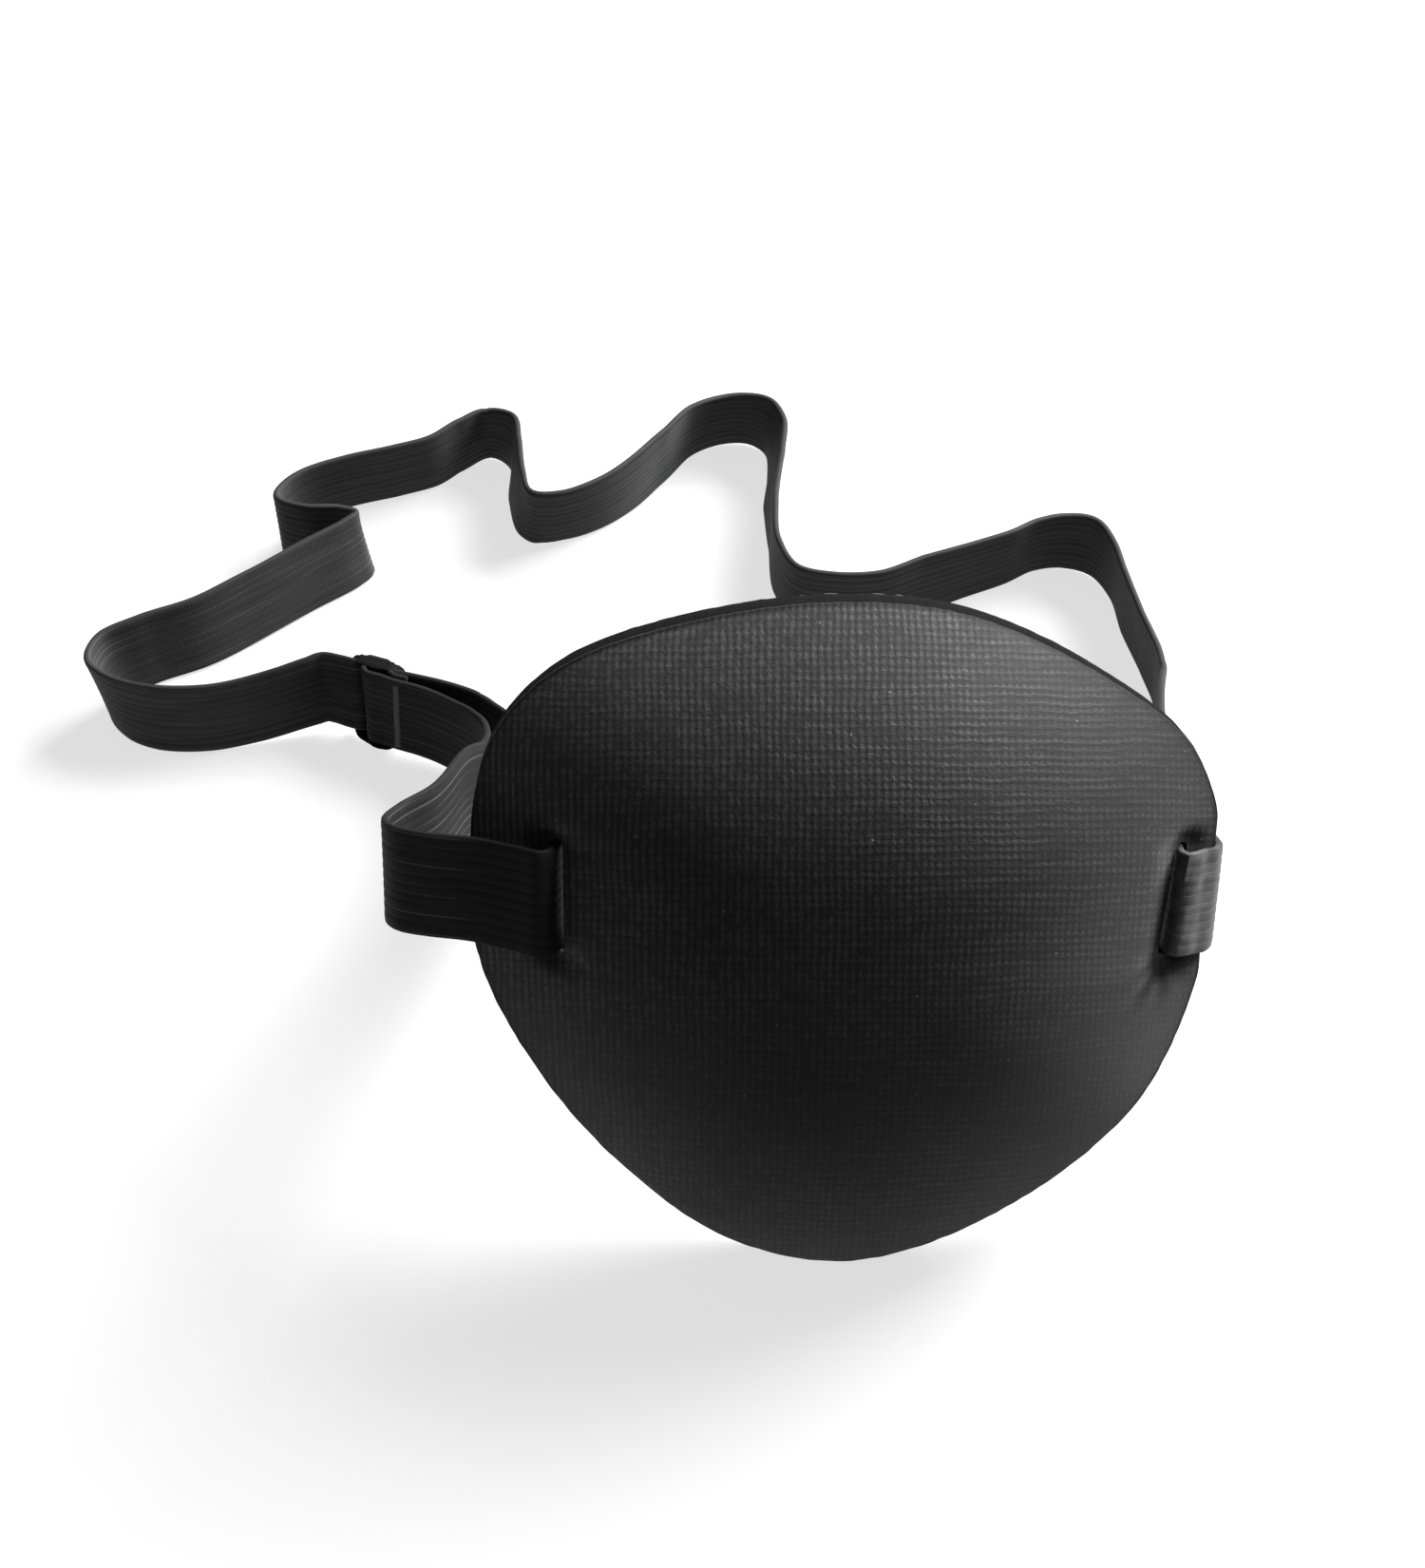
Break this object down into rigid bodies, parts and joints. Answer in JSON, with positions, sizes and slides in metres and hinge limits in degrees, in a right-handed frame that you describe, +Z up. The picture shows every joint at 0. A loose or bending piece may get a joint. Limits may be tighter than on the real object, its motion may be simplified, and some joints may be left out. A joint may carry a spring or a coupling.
{
  "type": "eye patch",
  "caption": "Moulded domed eye patch in knit-faced foam with side slots, one flat elastic head strap and a plastic strap adjuster.",
  "frame": {"origin": "on the surface the patch stands on, below the middle of the moulded patch's own bounding box", "axes": "+Z up, -Y towards the front of the patch, +X to the right seen from the front; the rim plane leans back 32 degrees from vertical"},
  "size_m": [0.1423, 0.1396, 0.0673],
  "materials": {
    "knit": "black warp-knit jersey, heat-bonded to the foam",
    "foam": "black closed-cell moulding foam",
    "lining": "smooth black tricot lining",
    "elastic": "charcoal ribbed woven elastic",
    "plastic": "black moulded plastic with a satin face",
    "thread": "black polyester sewing thread"
  },
  "bodies": {
    "patch": {"face_fabric": "knit", "foam_core": "foam", "lining_fabric": "lining", "strap_right_end": "elastic", "strap_run": "elastic", "strap_at_adjuster": "elastic", "strap_left_end": "elastic", "bartack_right": "thread"},
    "adjuster": {"adjuster": "plastic", "strap_sewn_fold": "elastic", "bartack_adjuster": "thread"}
  },
  "joints": [
    {"name": "adjuster_slide", "type": "slide", "parent": "patch", "child": "adjuster", "axis": [0.9476, -0.3195, 0], "range_m": [-0.0013, 0.0072]}
  ]
}
